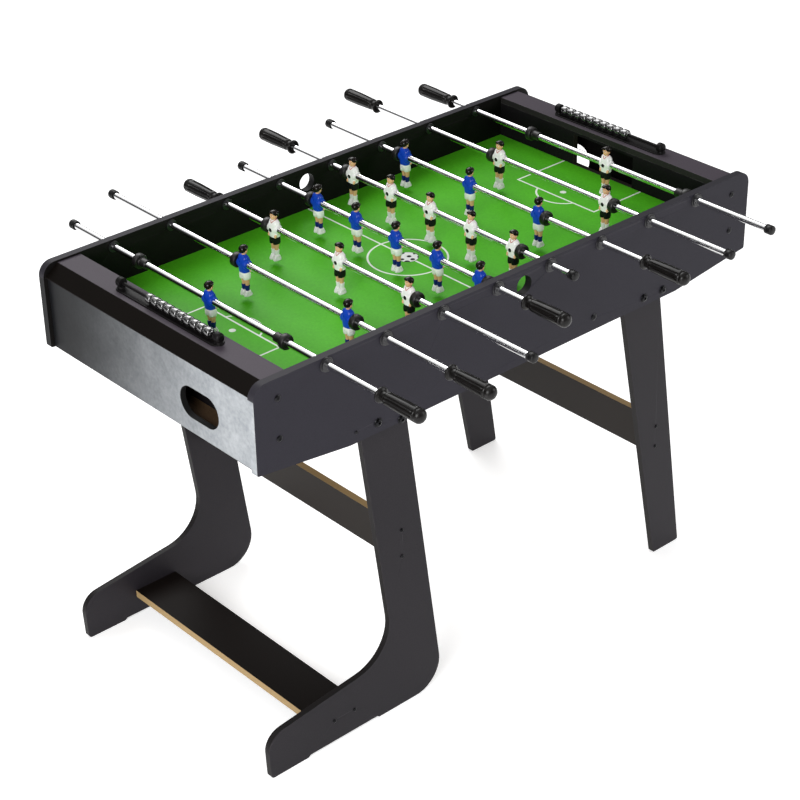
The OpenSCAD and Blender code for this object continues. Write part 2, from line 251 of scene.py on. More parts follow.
def grained(tree, dark, light, cloud, fleck, share, roughness, spread):
    """The surface grain placed in a material: its two tones, the scales of its cloud and its fleck,
    the fleck's share, and the roughness with its spread."""
    return grouped(tree, grain_group, {
        "Dark": dark, "Light": light, "Cloud Scale": cloud, "Fleck Scale": fleck, "Fleck": share,
        "Roughness": roughness, "Roughness Spread": spread})


def silver_print_and_painted_shade():
    """The end boards' print, a mottled silver, under painted shade that leaves it light towards one corner
    of the table and dark away from it.
    """
    group, given, result = shader_group(
        "silver_print_and_painted_shade", [("Dark", (0.26, 0.28, 0.30, 1)), ("Light", (0.45, 0.47, 0.49, 1)),
                         ("Shade", (0.02, 0.02, 0.022, 1))],
        [("Color", "Color"), ("Roughness", "Float"), ("Height", "Float")])
    spot = object_place(group)
    grain = grained(group, given["Dark"], given["Light"], cloud=26.0, fleck=150.0, share=0.45,
                    roughness=0.45, spread=0.2)
    # Painted shade: the print darkens by place, away from the side where the light falls.
    axes = node(group, "SeparateXYZ", {0: spot})
    outward = maths(group, "SIGN", axes.outputs["X"])
    toward_light_side = maths(group, "MULTIPLY", axes.outputs["Y"], outward)
    drift = maths(group, "SUBTRACT", noise(group, spot, 7.0, 3.0), 0.5)
    wavy = maths(group, "MULTIPLY_ADD", drift, 0.12, toward_light_side)
    painted_shade_fade = remap(group, wavy, -0.30, 0.36, interpolation_type="SMOOTHERSTEP")
    shade = mix_colour(group, painted_shade_fade, given["Shade"], (1.0, 1.0, 1.0, 1))
    printed = node(group, "Mix", {0: 1.0, 6: grain.outputs["Color"], 7: shade},
                   data_type="RGBA", blend_type="MULTIPLY").outputs[2]
    group.links.new(printed, result["Color"])
    group.links.new(grain.outputs["Roughness"], result["Roughness"])
    group.links.new(grain.outputs["Height"], result["Height"])
    return group


grain_group, edge_group, rub_and_highlight_group = surface_grain(), board_edge_mask(), edge_rub_and_highlight()
print_and_shade_group = silver_print_and_painted_shade()


def finish_surface(tree, surface, colour, texture, relief):
    """Feeds a Principled BSDF with a colour, a texture's Roughness, and its Height as a relief of so
    many metres."""
    bump = node(tree, "Bump", {"Height": texture["Height"], "Distance": relief, "Strength": 1.0})
    tree.links.new(colour, surface.inputs["Base Color"])
    tree.links.new(texture["Roughness"], surface.inputs["Roughness"])
    tree.links.new(bump.outputs["Normal"], surface.inputs["Normal"])


def foil_board(name, rub_and_highlight, dark, light, edge, roughness, face_axis, shaded_silver_ends=False, gloss=0.14):
    """A foil-covered board: fine-grained faces, edge bands of another tone, and eased edges painted pale as
    rub wear and as a painted highlight.
    """
    material, tree, surface = new_material(name, Specular_IOR_Level=gloss)
    grain = grained(tree, dark, light, cloud=3.0, fleck=900.0, share=0.6, roughness=roughness,
                    spread=0.10)
    band = grouped(tree, edge_group, {"Face": face_axis})
    rub_and_highlight_mask = grouped(tree, rub_and_highlight_group, {"Face": face_axis, "Amount": rub_and_highlight, "Break Up": 45.0})
    colour = mix_colour(tree, band.outputs["Mask"], grain.outputs["Color"], edge)
    # The end edges take the silver print with its painted shade.
    if shaded_silver_ends:
        height = node(tree, "SeparateXYZ", {0: object_place(tree)}).outputs["Z"]
        on_end = remap(tree, face_lean(tree, (1.0, 0.0, 0.0)), 0.8, 0.95)
        end_band = maths(tree, "MULTIPLY", on_end, remap(tree, height, 0.787, 0.785))
        colour = mix_colour(tree, end_band, colour, grouped(tree, print_and_shade_group).outputs["Color"])
    # Pale eased edges: partly rub wear, partly a painted highlight.
    rubbed_and_highlit = mix_colour(tree, rub_and_highlight_mask.outputs["Mask"], colour, (0.17, 0.16, 0.17, 1))
    finish_surface(tree, surface, rubbed_and_highlit, grain.outputs, 0.00003)
    return material


def stand_for(piece, node_name, body):
    """Puts a piece on its body and in its material slot, in place of a CAD node."""
    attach(piece, body)
    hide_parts(node_name)


def cad_mesh(node_name):
    """A CAD node's mesh, its corners joined."""
    mesh = bmesh.new()
    mesh.from_mesh(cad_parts[node_name].data)
    bmesh.ops.remove_doubles(mesh, verts=mesh.verts, dist=0.000001)
    return mesh


def eased_board(node_name, body, material, inward_material=None, inward_axis=1, ease=0.0007):
    """Stands for a CAD node's board, its edges softened as a router leaves them. A second material, where
    given, covers the face that looks in towards the middle of the table and the walls of the holes: painted
    shade on the panels, bare board under the playfield."""
    mesh = cad_mesh(node_name)
    flat, corner = math.radians(0.5), math.radians(30)
    bmesh.ops.dissolve_limit(mesh, angle_limit=flat, verts=mesh.verts, edges=mesh.edges)
    sharp = [e for e in mesh.edges if len(e.link_faces) == 2 and e.calc_face_angle() > corner]
    bmesh.ops.bevel(mesh, geom=sharp, offset=ease, segments=2, profile=0.5, affect="EDGES",
                    clamp_overlap=True)
    bmesh.ops.triangulate(mesh, faces=[f for f in mesh.faces if len(f.verts) > 4])
    piece = lay(node_name + "_board", mesh, material, smooth_angle=20)
    low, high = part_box(node_name)
    largest_smooth_area, square_on, edge_on, rim = 0.0001, 0.9, 0.5, 0.02
    other_axes = [axis for axis in range(3) if axis != inward_axis]
    for face in piece.data.polygons:
        face.use_smooth = face.area < largest_smooth_area
        lean = face.normal[inward_axis]
        faces_in = lean * face.center[inward_axis] < 0 and abs(lean) > square_on
        in_hole = abs(lean) < edge_on and all(
            low[axis] + rim < face.center[axis] < high[axis] - rim for axis in other_axes)
        if inward_material and (faces_in or in_hole):
            face.material_index = 1
    if inward_material:
        piece.data.materials.append(inward_material)
    stand_for(piece, node_name, body)


def painted_shade_foil(name, face_axis):
    """The nearly black copy of the foil on the inside of a panel and in its holes: painted shade."""
    return foil_board(name, 0.1, (0.0035, 0.0030, 0.0028, 1), (0.0060, 0.0052, 0.0048, 1),
                      (0.01, 0.01, 0.01, 1), 0.6, face_axis)


x_faces, y_faces, z_faces = (1.0, 0.0, 0.0, 1), (0.0, 1.0, 0.0, 1), (0.0, 0.0, 1.0, 1)
side_foil = foil_board("side_panel_foil", 0.35, (0.018, 0.0165, 0.023, 1), (0.026, 0.024, 0.034, 1),
                       (0.026, 0.024, 0.031, 1), 0.5, y_faces, shaded_silver_ends=True)
# Painted shade: inward faces and hole walls get a nearly black copy of the foil.
side_painted_shade = painted_shade_foil("side_panel_painted_shade", y_faces)
for name in ("front_side_panel", "back_side_panel"):
    eased_board(name, "cabinet", side_foil, inward_material=side_painted_shade)

# ------------------------------------------------------------
# End panels. Boards in a printed foil, a mottled silver with painted shade that darkens it towards one
# side, each with a rounded hole where the balls are taken out, its walls painted nearly black as shade.
# Their cut edges are black.

# Painted shade: inward faces and the ball hole's walls are nearly black.
end_painted_shade = painted_shade_foil("end_panel_painted_shade", x_faces)
end_board, tree, surface = new_material("mottled_silver_with_painted_shade", Specular_IOR_Level=0.12)
printed = grouped(tree, print_and_shade_group)
band = grouped(tree, edge_group, {"Face": x_faces})
edged = mix_colour(tree, band.outputs["Mask"], printed.outputs["Color"], (0.02, 0.018, 0.017, 1))
finish_surface(tree, surface, edged, printed.outputs, 0.00005)
for name in ("left_end_panel", "right_end_panel"):
    eased_board(name, "cabinet", end_board, inward_material=end_painted_shade, inward_axis=0)

# ------------------------------------------------------------
# Bevel rails and top ledges. The rail is a black strip that slopes from the ledge down to the end
# panel. The ledge is a flat board in warm grey foil with dark edges.

rail_black = foil_board("bevel_rail_black", 0.0, (0.0035, 0.0026, 0.0020, 1), (0.0065, 0.0050, 0.0042, 1),
                        (0.010, 0.008, 0.008, 1), 0.55, z_faces, gloss=0.04)
eased_board("end_bevel_rails", "cabinet", rail_black)
ledge_foil = foil_board("ledge_grey_foil", 0.3, (0.050, 0.040, 0.052, 1), (0.072, 0.059, 0.075, 1),
                        (0.02, 0.018, 0.018, 1), 0.5, z_faces)
for name in ("left_top_ledge", "right_top_ledge"):
    eased_board(name, "cabinet", ledge_foil)

# ------------------------------------------------------------
# Goal walls. Black boards across the ends of the pitch, with the goal mouth cut up from the field.

goal_black = foil_board("goal_wall_black", 0.2, (0.006, 0.0052, 0.006, 1), (0.011, 0.0096, 0.011, 1),
                        (0.03, 0.025, 0.022, 1), 0.55, x_faces, gloss=0.06)
for name in ("left_goal_wall", "right_goal_wall"):
    eased_board(name, "cabinet", goal_black)

# ------------------------------------------------------------
# Ball boxes and field battens. Bare brown fibreboard behind the goals and under the field, which
# nobody sees in play: cut with a saw, glued and left without a finish.

raw_board, tree, surface = new_material("raw_fibreboard", Specular_IOR_Level=0.2)
grain = grained(tree, (0.060, 0.034, 0.017, 1), (0.110, 0.066, 0.034, 1), cloud=9.0, fleck=420.0,
                share=0.6, roughness=0.85, spread=0.1)
finish_surface(tree, surface, grain.outputs["Color"], grain.outputs, 0.00015)
for name in ("ball_boxes", "field_battens"):
    eased_board(name, "cabinet", raw_board)

# ------------------------------------------------------------
# Playfield. A thin board in grooves in the side panels, printed green with white lines: a middle
# line and circle, a penalty box, spot and arc at each end, and a drawing of a ball in the middle.


def ink(group, off, half_width):
    """1 within half a width of a line's middle, fading to 0 over the last 0.4 mm."""
    return remap(group, off, maths(group, "SUBTRACT", half_width, 0.0004), half_width, 1.0, 0.0)


def print_ring():
    """1 on a ring, or on a disc when Half Width is as large as Radius, about a point in the plane."""
    group, given, result = shader_group(
        "print_ring", [("X", 0.0), ("Y", 0.0), ("Centre X", 0.0), ("Radius", 0.1), ("Half Width", 0.002)],
        [("Mask", "Float")])
    across = maths(group, "SUBTRACT", given["X"], given["Centre X"])
    squares = maths(group, "ADD", maths(group, "MULTIPLY", across, across),
                    maths(group, "MULTIPLY", given["Y"], given["Y"]))
    off = maths(group, "ABSOLUTE", maths(group, "SUBTRACT", maths(group, "SQRT", squares), given["Radius"]))
    group.links.new(ink(group, off, given["Half Width"]), result["Mask"])
    return group


def print_bar():
    """1 on a straight bar where Across is near Place, as long as Along is under Reach."""
    group, given, result = shader_group(
        "print_bar",
        [("Across", 0.0), ("Place", 0.0), ("Half Width", 0.002), ("Along", 0.0), ("Reach", 1.0)],
        [("Mask", "Float")])
    off = maths(group, "ABSOLUTE", maths(group, "SUBTRACT", given["Across"], given["Place"]))
    within = maths(group, "LESS_THAN", given["Along"], given["Reach"])
    line = ink(group, off, given["Half Width"])
    group.links.new(maths(group, "MULTIPLY", line, within), result["Mask"])
    return group


ring_group, bar_group = print_ring(), print_bar()
pitch_print, tree, surface = new_material("green_pitch_print", Specular_IOR_Level=0.10)
place = node(tree, "SeparateXYZ", {0: object_place(tree)})
x, y = place.outputs["X"], place.outputs["Y"]
end_x, side_y = maths(tree, "ABSOLUTE", x), maths(tree, "ABSOLUTE", y)
to_end = maths(tree, "MULTIPLY", end_x, -1.0)
line_half = 0.0021
circle_r, ball_r = 0.075, 0.021
box_x, box_half = 0.391, 0.104
spot_x, spot_r, arc_r = 0.413, 0.0065, 0.053


def ring_print(x, centre_x, radius, half_width):
    """The ring group placed in the pitch's print."""
    return grouped(tree, ring_group, {"X": x, "Y": y, "Centre X": centre_x, "Radius": radius,
                                      "Half Width": half_width}).outputs["Mask"]


def bar_print(across, place, along=0.0, reach=1.0):
    """The bar group placed in the pitch's print."""
    return grouped(tree, bar_group, {"Across": across, "Place": place, "Half Width": line_half,
                                     "Along": along, "Reach": reach}).outputs["Mask"]


arc = maths(tree, "MULTIPLY", ring_print(end_x, spot_x, arc_r, line_half),
            maths(tree, "LESS_THAN", end_x, box_x))
marks = [
    ring_print(x, 0.0, circle_r, line_half),
    bar_print(end_x, box_x, side_y, box_half + line_half),
    bar_print(side_y, box_half, to_end, -box_x),
    ring_print(end_x, spot_x, 0.0, spot_r),
    arc,
]
lines = bar_print(x, 0.0)
for mark in marks:
    lines = maths(tree, "MAXIMUM", lines, mark)
grass = grained(tree, (0.058, 0.35, 0.009, 1), (0.094, 0.52, 0.016, 1), cloud=4.0, fleck=260.0,
                share=0.35, roughness=0.45, spread=0.14)
lined = mix_colour(tree, lines, grass.outputs["Color"], (0.80, 0.86, 0.78, 1))
panels = node(tree, "TexVoronoi", {"Vector": object_place(tree), "Scale": 62.0, "Randomness": 0.25},
              feature="F1")
patch = maths(tree, "LESS_THAN", panels.outputs["Distance"], 0.34)
outline = ring_print(x, 0.0, ball_r - 0.0006, 0.0008)
dark_parts = maths(tree, "MAXIMUM", patch, outline)
ball_drawing = mix_colour(tree, dark_parts, (0.82, 0.84, 0.82, 1), (0.01, 0.012, 0.01, 1))
printed = mix_colour(tree, ring_print(x, 0.0, 0.0, ball_r), lined, ball_drawing)
band = grouped(tree, edge_group, {"Face": z_faces})
edged = mix_colour(tree, band.outputs["Mask"], printed, (0.16, 0.10, 0.05, 1))
finish_surface(tree, surface, edged, grass.outputs, 0.00002)
eased_board("playfield", "cabinet", pitch_print, inward_material=raw_board, inward_axis=2,
            ease=0.0003)

# ------------------------------------------------------------
# Rod bearings. Black nylon bushings pressed into the side panels from outside: a broad thin flange
# with a raised hub around the rod, and a lip on the inside face.


def turned(mesh, outline, place, turns=40, flutes=0, flute_depth=0.0, flute_from=0.0, flute_to=0.0):
    """Adds a piece turned on a lathe: outline is (distance along, radius) pairs, and place puts the
    lathe's axis, its local Z, where it belongs. Flutes sink the radius between two distances along,
    and run out over the last few millimetres."""
    run_out = 0.006
    rings = []
    for along, radius in outline:
        if radius < 0.00001:
            rings.append([mesh.verts.new(place @ Vector((0, 0, along)))])
            continue
        ring = []
        for i in range(turns):
            angle = 2 * math.pi * i / turns
            depth = 0.0
            if flutes and flute_from < along < flute_to:
                end = min(along - flute_from, flute_to - along) / run_out
                depth = flute_depth * min(1.0, end) * max(0.0, math.cos(flutes * angle)) ** 0.7
            r = radius - depth
            ring.append(mesh.verts.new(place @ Vector((r * math.cos(angle), r * math.sin(angle), along))))
        rings.append(ring)
    for low, high in zip(rings, rings[1:]):
        for i in range(turns):
            j = (i + 1) % turns
            if len(low) == 1:
                mesh.faces.new((low[0], high[j], high[i]))
            elif len(high) == 1:
                mesh.faces.new((low[i], low[j], high[0]))
            else:
                mesh.faces.new((low[i], low[j], high[j], high[i]))


def along_y(x, y, z, direction):
    """The place of a lathe axis that points along +Y or -Y from a point."""
    quarter = Matrix.Rotation(-direction * math.pi / 2, 4, "X")
    return Matrix.Translation((x, y, z)) @ quarter


def moulded_plastic(name, dark, light, roughness, fleck_scale=900.0, relief=0.00003, **plain):
    """Moulded plastic or rubber with a faint texture from the mould."""
    material, tree, surface = new_material(name, **plain)
    grain = grained(tree, dark, light, cloud=30.0, fleck=fleck_scale, share=0.5, roughness=roughness,
                    spread=0.18)
    rub_and_highlight = grouped(tree, rub_and_highlight_group, {"Amount": 0.25, "Break Up": 160.0})
    rubbed_and_highlit = mix_colour(tree, rub_and_highlight.outputs["Mask"], grain.outputs["Color"], (0.045, 0.043, 0.043, 1))
    finish_surface(tree, surface, rubbed_and_highlit, grain.outputs, relief)
    return material


bearing_nylon = moulded_plastic("bearing_nylon", (0.0060, 0.0058, 0.0070, 1),
                                (0.0130, 0.0120, 0.0150, 1), 0.38)
rod_count = 8
shaft_boxes = [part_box(f"rod_{n}_shaft") for n in range(1, rod_count + 1)]
rod_places = [(low.x + high.x) / 2 for low, high in shaft_boxes]
rod_z = (shaft_boxes[0][0].z + shaft_boxes[0][1].z) / 2
rod_r = (shaft_boxes[0][1].z - shaft_boxes[0][0].z) / 2
bore_r = rod_r + 0.0001
flange_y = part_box("rod_bearings")[1].y
bushing = [
    (0.0, bore_r), (0.0, 0.0108), (0.0006, 0.0116), (0.0020, 0.0118), (0.0028, 0.0112), (0.0030, 0.0128),
    (0.0036, 0.0136), (0.0050, 0.0137), (0.0050, 0.0088), (0.0200, 0.0088), (0.0200, 0.0112),
    (0.0216, 0.0110), (0.0220, 0.0100), (0.0220, bore_r), (0.0, bore_r)]
mesh = bmesh.new()
for place_x in rod_places:
    for side in (-1, 1):
        turned(mesh, bushing, along_y(place_x, side * flange_y, rod_z, -side), turns=36)
bearings = lay("rod_bearing_bushings", mesh, bearing_nylon)
stand_for(bearings, "rod_bearings", "cabinet")

# ------------------------------------------------------------
# Screws and bolts. Dark pan-head screws with a cross recess hold the boards together, and larger
# domed bolts with a hexagon socket carry the legs: a pivot bolt and a lock bolt on each side.


def pan_head(mesh, place, head_r, head_h):
    """A domed screw head with a cross recess, its foot at the origin of place and its top along +Z."""
    rim = [(0.0, head_r), (head_h * 0.35, head_r), (head_h * 0.75, head_r * 0.82)]
    turned(mesh, rim + [(head_h, head_r * 0.5), (head_h, head_r * 0.42)], place, turns=28)
    turned(mesh, [(head_h, head_r * 0.42), (head_h * 0.5, head_r * 0.36), (head_h * 0.5, 0.0)], place,
           turns=28)
    reach, half = head_r * 0.60, head_r * 0.11
    for turn in (math.pi / 4, -math.pi / 4):
        arm = place @ Matrix.Translation((0, 0, head_h * 0.98)) @ Matrix.Rotation(turn, 4, "Z")
        corners = [(-reach, -half), (reach, -half), (reach, half), (-reach, half)]
        top = [mesh.verts.new(arm @ Vector((u, v, head_h * 0.04))) for u, v in corners]
        foot = [mesh.verts.new(arm @ Vector((u * 0.7, v, -head_h * 0.3))) for u, v in corners]
        mesh.faces.new(top)
        for i in range(4):
            mesh.faces.new((top[i], foot[i], foot[(i + 1) % 4], top[(i + 1) % 4]))
        mesh.faces.new(foot[::-1])


screw_steel, tree, surface = new_material("blackened_steel", Metallic=0.85)
grain = grained(tree, (0.006, 0.006, 0.007, 1), (0.018, 0.018, 0.020, 1), cloud=60.0, fleck=900.0,
                share=0.5, roughness=0.30, spread=0.2)
rub_and_highlight = grouped(tree, rub_and_highlight_group, {"Amount": 0.15, "Break Up": 150.0})
rub_and_highlight_mask = mix_colour(tree, rub_and_highlight.outputs["Mask"], grain.outputs["Color"], (0.10, 0.10, 0.105, 1))
finish_surface(tree, surface, rub_and_highlight_mask, grain.outputs, 0.00002)


def solids_of(node_name):
    """(lowest corner, highest corner) of each separate solid in a CAD node."""
    mesh = cad_mesh(node_name)
    left, boxes = set(mesh.verts), []
    while left:
        reached = [left.pop()]
        corners = []
        while reached:
            vert = reached.pop()
            corners.append(vert.co.copy())
            for edge in vert.link_edges:
                other = edge.other_vert(vert)
                if other in left:
                    left.remove(other)
                    reached.append(other)
        boxes.append((Vector([min(c[i] for c in corners) for i in range(3)]),
                      Vector([max(c[i] for c in corners) for i in range(3)])))
    mesh.free()
    return sorted(boxes, key=lambda box: (round(box[0].x, 4), round(box[0].y, 4), round(box[0].z, 4)))


screw_head_h = 0.0022
for node_name, body in (("cabinet_screws", "cabinet"), ("j_leg_screws", "j_leg_frame"),
                        ("straight_leg_screws", "straight_leg_frame")):
    mesh = bmesh.new()
    for low, high in solids_of(node_name):
        middle = (low + high) / 2
        side = -1 if middle.y < 0 else 1
        board_y = max(abs(low.y), abs(high.y)) - screw_head_h
        head_r = (high.x - low.x) / 2
        pan_head(mesh, along_y(middle.x, side * board_y, middle.z, side), head_r, screw_head_h)
    screws = lay(node_name + "_heads", mesh, screw_steel)
    stand_for(screws, node_name, body)

bolt_head_h, longest_lock_bolt = 0.0045, 0.035
dome = [(0.0, 0.0082), (0.0008, 0.0086), (0.0014, 0.0082), (0.0014, 0.0068), (0.0028, 0.0066),
        (0.0038, 0.0056), (0.0044, 0.0038), (0.0044, 0.0026)]
socket = [(0.0044, 0.0026), (0.0020, 0.0024), (0.0020, 0.0)]
nut_h, nut = 0.006, [(0.0, 0.0070), (0.0051, 0.0070), (0.006, 0.0060), (0.006, 0.0)]
tip_h, tip = 0.001, [(0.0, 0.0040), (0.001, 0.0030), (0.001, 0.0)]
mesh = bmesh.new()
for low, high in solids_of("leg_bolts"):
    middle = (low + high) / 2
    side = -1 if middle.y < 0 else 1
    length = high.y - low.y
    inner_y, outer_y = (low.y, high.y) if side > 0 else (high.y, low.y)
    under_head = outer_y - side * bolt_head_h
    turned(mesh, dome, along_y(middle.x, under_head, middle.z, side), turns=36)
    turned(mesh, socket, along_y(middle.x, under_head, middle.z, side), turns=6)
    turned(mesh, [(0.0, 0.0040), (length - bolt_head_h, 0.0040)],
           along_y(middle.x, under_head, middle.z, -side), turns=24)
    end_h, end = (nut_h, nut) if length > longest_lock_bolt else (tip_h, tip)
    turned(mesh, end, along_y(middle.x, inner_y + side * end_h, middle.z, -side), turns=6)
bolts = lay("leg_bolt_heads", mesh, screw_steel)
stand_for(bolts, "leg_bolts", "cabinet")

# ------------------------------------------------------------
# Score counters. A black moulded base with a rounded block at each end and a bar between them, on
# which ten glossy beads slide. One stands on each top ledge.


def rounded_strip(mesh, x, from_y, to_y, half_w, height_steps):
    """A moulded strip along Y with rounded ends: height_steps say how far it draws in at each height."""
    arc = [math.pi * i / 14 for i in range(15)]
    ends = [(to_y - half_w, 0.0), (from_y + half_w, math.pi)]
    rings = []
    for height, inset in height_steps:
        r = half_w - inset
        rings.append([mesh.verts.new((x + r * math.cos(a + turn), y + r * math.sin(a + turn), height))
                      for y, turn in ends for a in arc])
    for under, over in zip(rings, rings[1:]):
        for i in range(len(under)):
            j = (i + 1) % len(under)
            mesh.faces.new((under[i], under[j], over[j], over[i]))
    mesh.faces.new(rings[0][::-1])
    mesh.faces.new(rings[-1])


counter_plastic = moulded_plastic("counter_plastic", (0.0035, 0.0030, 0.0032, 1),
                                  (0.0080, 0.0070, 0.0075, 1), 0.45, Specular_IOR_Level=0.12)
bead_plastic = moulded_plastic("bead_plastic", (0.0040, 0.0038, 0.0042, 1), (0.0090, 0.0085, 0.0095, 1),
                               0.30, Coat_Weight=1.0, Coat_Roughness=0.22, Coat_IOR=2.4)
base_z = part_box("left_top_ledge")[1].z
bead_low, bead_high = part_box("left_counter_beads")
bar_z = (bead_low.z + bead_high.z) / 2
bar_r, bar_inset = 0.003, 0.006
foot_length, foot_half_w = 0.0138, 0.0068
tray = [(base_z, 0.0), (base_z + 0.0016, 0.0), (base_z + 0.0024, 0.0008), (base_z + 0.0024, 0.0030),
        (base_z + 0.0014, 0.0038)]
block = [(0.0, 0.0), (0.0, 0.0050), (0.0012, 0.0075), (0.0035, 0.0090), (0.0120, 0.0092),
         (0.0136, 0.0086), (0.0140, 0.0070), (0.0140, 0.0)]
foot = [(base_z, -0.001), (base_z + 0.003, 0.0), (bar_z, 0.0012)]
mesh = bmesh.new()
for low, high in solids_of("score_counter_frames"):
    middle_x = (low.x + high.x) / 2
    rounded_strip(mesh, middle_x, low.y, high.y, (high.x - low.x) / 2, tray)
    turned(mesh, [(0.0, bar_r), (high.y - low.y - 2 * bar_inset, bar_r)],
           along_y(middle_x, low.y + bar_inset, bar_z, 1), turns=20)
    for end_y, inward in ((low.y, 1), (high.y, -1)):
        turned(mesh, block, along_y(middle_x, end_y, bar_z, inward), turns=32)
        from_y, to_y = sorted((end_y, end_y + inward * foot_length))
        rounded_strip(mesh, middle_x, from_y, to_y, foot_half_w, foot)
counters = lay("score_counter_bases", mesh, counter_plastic)
stand_for(counters, "score_counter_frames", "cabinet")

bead = [
    (0.0, 0.0034), (0.0, 0.0056), (0.0028, 0.0058), (0.0032, 0.0078), (0.0040, 0.0087), (0.0052, 0.0090),
    (0.0128, 0.0090), (0.0140, 0.0087), (0.0148, 0.0078), (0.0152, 0.0058), (0.0180, 0.0056),
    (0.0180, 0.0034), (0.0, 0.0034)]
for end in ("left", "right"):
    mesh = bmesh.new()
    for low, high in solids_of(end + "_counter_beads"):
        middle = (low + high) / 2
        turned(mesh, bead, along_y(middle.x, low.y, middle.z, 1), turns=32)
    beads = lay(end + "_counter_bead_set", mesh, bead_plastic)
    stand_for(beads, end + "_counter_beads", end + "_counter")

# ------------------------------------------------------------
# Rods. Chromed steel tube, polished along its length, which slides and turns in the bearings. The
# ends run into the grip at one side and into a rubber cap at the other.

rod_chrome, tree, surface = new_material("rod_chrome", Metallic=1.0)
place = object_place(tree)
stretched = node(tree, "Mapping", {"Vector": place, "Scale": (1.0, 0.03, 1.0)}).outputs[0]
streaks, haze = noise(tree, stretched, 900.0, 3.0), noise(tree, place, 9.0, 2.0)
polish = maths(tree, "MULTIPLY_ADD", streaks, 0.06, 0.06)
roughness = maths(tree, "MULTIPLY_ADD", haze, 0.08, polish)
tone = mix_colour(tree, haze, (0.78, 0.78, 0.79, 1), (0.90, 0.90, 0.91, 1))
finish_surface(tree, surface, tone, {"Roughness": roughness, "Height": streaks}, 0.000001)
chamfer = 0.0006
for n in range(1, rod_count + 1):
    low, high = shaft_boxes[n - 1]
    length = high.y - low.y
    mesh = bmesh.new()
    outline = [(0.0, 0.0), (0.0, rod_r - chamfer), (chamfer, rod_r), (length - chamfer, rod_r),
               (length, rod_r - chamfer), (length, 0.0)]
    turned(mesh, outline, along_y(rod_places[n - 1], low.y, rod_z, 1), turns=48)
    shaft = lay(f"rod_{n}_tube", mesh, rod_chrome)
    stand_for(shaft, f"rod_{n}_shaft", f"rod_{n}_spinner")

# ------------------------------------------------------------
# Grips and end caps. The grip is a black moulded barrel with flutes along it, a flange towards the
# table, a neck between the two, and a domed end. The cap is a short rubber cup pushed on the rod.

grip_plastic = moulded_plastic("grip_plastic", (0.0030, 0.0026, 0.0024, 1), (0.0070, 0.0060, 0.0055, 1),
                               0.30, Specular_IOR_Level=0.22)
cap_rubber = moulded_plastic("cap_rubber", (0.0040, 0.0040, 0.0042, 1), (0.0090, 0.0085, 0.0090, 1),
                             0.34, Specular_IOR_Level=0.22)
barrel_from, barrel_to = 0.0184, 0.0860
grip_neck = [
    (0.0, rod_r), (0.0, 0.0112), (0.0006, 0.0132), (0.0018, 0.0140), (0.0036, 0.0140), (0.0050, 0.0134),
    (0.0060, 0.0104), (0.0068, 0.0092), (0.0135, 0.0090), (0.0150, 0.0094), (0.0164, 0.0106),
    (barrel_from, 0.0115)]
barrel = [(barrel_from + (barrel_to - barrel_from) * i / 24, 0.0115 + 0.0015 * min(1, i / 15))
          for i in range(1, 25)]
grip_end = [
    (0.0872, 0.0130), (0.0882, 0.0119), (0.0898, 0.0119), (0.0908, 0.0130), (0.0935, 0.0129),
    (0.0965, 0.0119), (0.0992, 0.0096), (0.1010, 0.0066), (0.1018, 0.0034), (0.1020, 0.0)]
cap_outline = [
    (0.0, 0.0), (0.0, 0.0056), (0.0010, 0.0080), (0.0028, 0.0089), (0.0108, 0.0090), (0.0116, 0.0083),
    (0.0128, 0.0083), (0.0136, 0.0090), (0.0156, 0.0087), (0.0160, 0.0078), (0.0160, rod_r)]
grip_sides = []
for n in range(1, rod_count + 1):
    boxes = solids_of(f"rod_{n}_grip_and_cap")
    cap_box, grip_box = sorted(boxes, key=lambda box: box[1].z - box[0].z)
    outward = 1 if grip_box[0].y > 0 else -1
    grip_sides.append(outward)
    nearest = 0 if outward > 0 else 1
    place_x = rod_places[n - 1]
    mesh = bmesh.new()
    turned(mesh, grip_neck + barrel + grip_end, along_y(place_x, grip_box[nearest].y, rod_z, outward),
           turns=96, flutes=8, flute_depth=0.0023, flute_from=barrel_from, flute_to=barrel_to)
    grip = lay(f"rod_{n}_grip", mesh, grip_plastic, smooth_angle=50)
    mesh = bmesh.new()
    turned(mesh, cap_outline, along_y(place_x, cap_box[nearest].y, rod_z, outward), turns=36)
    cap = lay(f"rod_{n}_cap", mesh, cap_rubber, smooth_angle=50)
    for piece in (grip, cap):
        stand_for(piece, f"rod_{n}_grip_and_cap", f"rod_{n}_spinner")

# ------------------------------------------------------------
# Bumpers. Thick black rubber washers that cushion the outer players against the side panels. On a
# goalkeeper's rod they sit further out, each held off by a stop collar.

